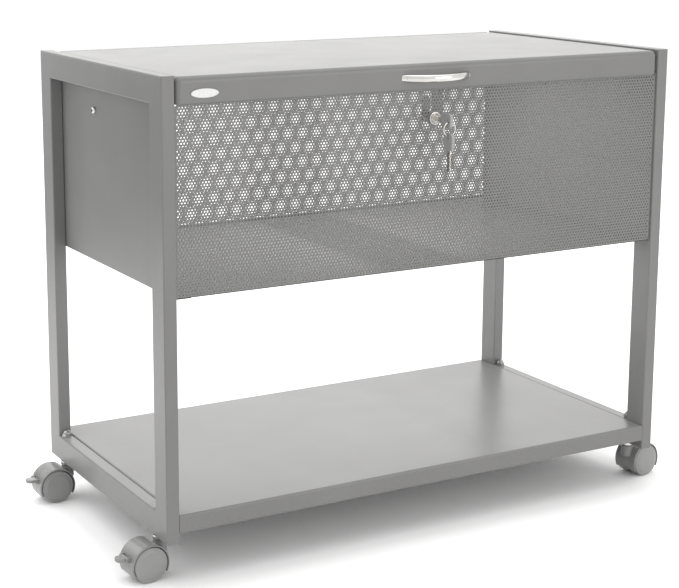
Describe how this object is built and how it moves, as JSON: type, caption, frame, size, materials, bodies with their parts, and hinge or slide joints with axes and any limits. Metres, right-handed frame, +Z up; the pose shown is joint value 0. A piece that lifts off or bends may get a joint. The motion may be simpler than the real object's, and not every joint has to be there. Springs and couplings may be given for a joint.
{
  "type": "mobile file cart",
  "caption": "Locking mobile file cart: two flat-tube end frames on twin-wheel casters carry a lidded box with perforated walls above an open tray shelf.",
  "frame": {"origin": "on the floor, under the middle of the whole object's outline", "axes": "+X along the cart towards the end without brakes, +Y from the lock side to the hinge side, +Z up"},
  "size_m": [0.9424, 0.4754, 0.6858],
  "materials": {
    "powder_coat": "satin grey powder coat, slightly glossy",
    "chrome": "polished chrome plate",
    "zinc_plate": "bright zinc plate",
    "badge_metal": "satin metal, no lettering",
    "caster_plastic": "moulded, semi-gloss",
    "wheel_plastic": "moulded nylon, satin",
    "key_mix": "black moulded head on a nickel-plated blade"
  },
  "bodies": {
    "frame": {"left_front_leg": "powder_coat", "left_rear_leg": "powder_coat", "left_top_rail": "powder_coat", "left_bottom_rail": "powder_coat", "left_end_panel": "powder_coat", "right_front_leg": "powder_coat", "right_rear_leg": "powder_coat", "right_top_rail": "powder_coat", "right_bottom_rail": "powder_coat", "right_end_panel": "powder_coat", "front_panel": "powder_coat", "rear_panel": "powder_coat", "box_floor": "powder_coat", "panel_studs": "chrome", "box_hinge_leaf": "zinc_plate", "hinge_pin": "chrome", "lock_body": "chrome", "lock_nut": "zinc_plate", "bottom_shelf": "powder_coat", "shelf_screws": "zinc_plate", "caster_stems": "chrome", "stem_nuts": "zinc_plate"},
    "lid": {"lid_shell": "powder_coat", "lid_handle": "chrome", "handle_screws": "zinc_plate", "badge_plate": "badge_metal", "lid_strike": "zinc_plate", "lid_hinge_leaf": "zinc_plate"},
    "lock_turner": {"lock_plug": "chrome", "lock_cam": "zinc_plate", "lock_key": "key_mix"},
    "key_ring": {"key_ring": "chrome"},
    "spare_key": {"spare_key": "key_mix"},
    "left_front_caster": {"left_front_caster_hood": "caster_plastic", "left_front_caster_axle": "zinc_plate"},
    "left_front_wheel_a": {"left_front_wheel_a": "wheel_plastic"},
    "left_front_wheel_b": {"left_front_wheel_b": "wheel_plastic"},
    "left_front_brake": {"left_front_brake_lever": "caster_plastic"},
    "left_rear_caster": {"left_rear_caster_hood": "caster_plastic", "left_rear_caster_axle": "zinc_plate"},
    "left_rear_wheel_a": {"left_rear_wheel_a": "wheel_plastic"},
    "left_rear_wheel_b": {"left_rear_wheel_b": "wheel_plastic"},
    "left_rear_brake": {"left_rear_brake_lever": "caster_plastic"},
    "right_front_caster": {"right_front_caster_hood": "caster_plastic", "right_front_caster_axle": "zinc_plate"},
    "right_front_wheel_a": {"right_front_wheel_a": "wheel_plastic"},
    "right_front_wheel_b": {"right_front_wheel_b": "wheel_plastic"},
    "right_rear_caster": {"right_rear_caster_hood": "caster_plastic", "right_rear_caster_axle": "zinc_plate"},
    "right_rear_wheel_a": {"right_rear_wheel_a": "wheel_plastic"},
    "right_rear_wheel_b": {"right_rear_wheel_b": "wheel_plastic"}
  },
  "joints": [
    {"name": "lid_hinge", "type": "hinge", "parent": "frame", "child": "lid", "pos_m": [0, 0.2276, 0.681], "axis": [-1, 0, 0], "range_deg": [0, 100]},
    {"name": "lock_turn", "type": "hinge", "parent": "frame", "child": "lock_turner", "pos_m": [0, -0.1964, 0.6065], "axis": [0, 1, 0], "range_deg": [0, 90]},
    {"name": "key_ring_swing", "type": "hinge", "parent": "lock_turner", "child": "key_ring", "pos_m": [0, -0.23, 0.6049], "axis": [-1, 0, 0], "range_deg": [-15, 75]},
    {"name": "spare_key_swing", "type": "hinge", "parent": "key_ring", "child": "spare_key", "pos_m": [0, -0.23, 0.5859], "axis": [-1, 0, 0], "range_deg": [-20, 60]},
    {"name": "left_front_swivel", "type": "hinge", "parent": "frame", "child": "left_front_caster", "pos_m": [-0.40957, -0.1514, 0.045], "axis": [0, 0, 1], "continuous": true},
    {"name": "left_front_wheel_a_spin", "type": "hinge", "parent": "left_front_caster", "child": "left_front_wheel_a", "pos_m": [-0.43352, -0.15307, 0.025], "axis": [0.0698, -0.9976, 0], "continuous": true},
    {"name": "left_front_wheel_b_spin", "type": "hinge", "parent": "left_front_caster", "child": "left_front_wheel_b", "pos_m": [-0.43352, -0.15307, 0.025], "axis": [0.0698, -0.9976, 0], "continuous": true},
    {"name": "left_front_brake_press", "type": "hinge", "parent": "left_front_caster", "child": "left_front_brake", "pos_m": [-0.46304, -0.15514, 0.03577], "axis": [0.0698, -0.9976, 0], "range_deg": [0, 20]},
    {"name": "left_rear_swivel", "type": "hinge", "parent": "frame", "child": "left_rear_caster", "pos_m": [-0.40957, 0.1904, 0.045], "axis": [0, 0, 1], "continuous": true},
    {"name": "left_rear_wheel_a_spin", "type": "hinge", "parent": "left_rear_caster", "child": "left_rear_wheel_a", "pos_m": [-0.43357, 0.1904, 0.025], "axis": [0, -1, 0], "continuous": true},
    {"name": "left_rear_wheel_b_spin", "type": "hinge", "parent": "left_rear_caster", "child": "left_rear_wheel_b", "pos_m": [-0.43357, 0.1904, 0.025], "axis": [0, -1, 0], "continuous": true},
    {"name": "left_rear_brake_press", "type": "hinge", "parent": "left_rear_caster", "child": "left_rear_brake", "pos_m": [-0.46318, 0.1904, 0.03577], "axis": [0, -1, 0], "range_deg": [0, 20]},
    {"name": "right_front_swivel", "type": "hinge", "parent": "frame", "child": "right_front_caster", "pos_m": [0.40957, -0.1514, 0.045], "axis": [0, 0, 1], "continuous": true},
    {"name": "right_front_wheel_a_spin", "type": "hinge", "parent": "right_front_caster", "child": "right_front_wheel_a", "pos_m": [0.43334, -0.14806, 0.025], "axis": [-0.1392, 0.9903, 0], "continuous": true},
    {"name": "right_front_wheel_b_spin", "type": "hinge", "parent": "right_front_caster", "child": "right_front_wheel_b", "pos_m": [0.43334, -0.14806, 0.025], "axis": [-0.1392, 0.9903, 0], "continuous": true},
    {"name": "right_rear_swivel", "type": "hinge", "parent": "frame", "child": "right_rear_caster", "pos_m": [0.40957, 0.1904, 0.045], "axis": [0, 0, 1], "continuous": true},
    {"name": "right_rear_wheel_a_spin", "type": "hinge", "parent": "right_rear_caster", "child": "right_rear_wheel_a", "pos_m": [0.43213, 0.19861, 0.025], "axis": [-0.342, 0.9397, 0], "continuous": true},
    {"name": "right_rear_wheel_b_spin", "type": "hinge", "parent": "right_rear_caster", "child": "right_rear_wheel_b", "pos_m": [0.43213, 0.19861, 0.025], "axis": [-0.342, 0.9397, 0], "continuous": true}
  ]
}
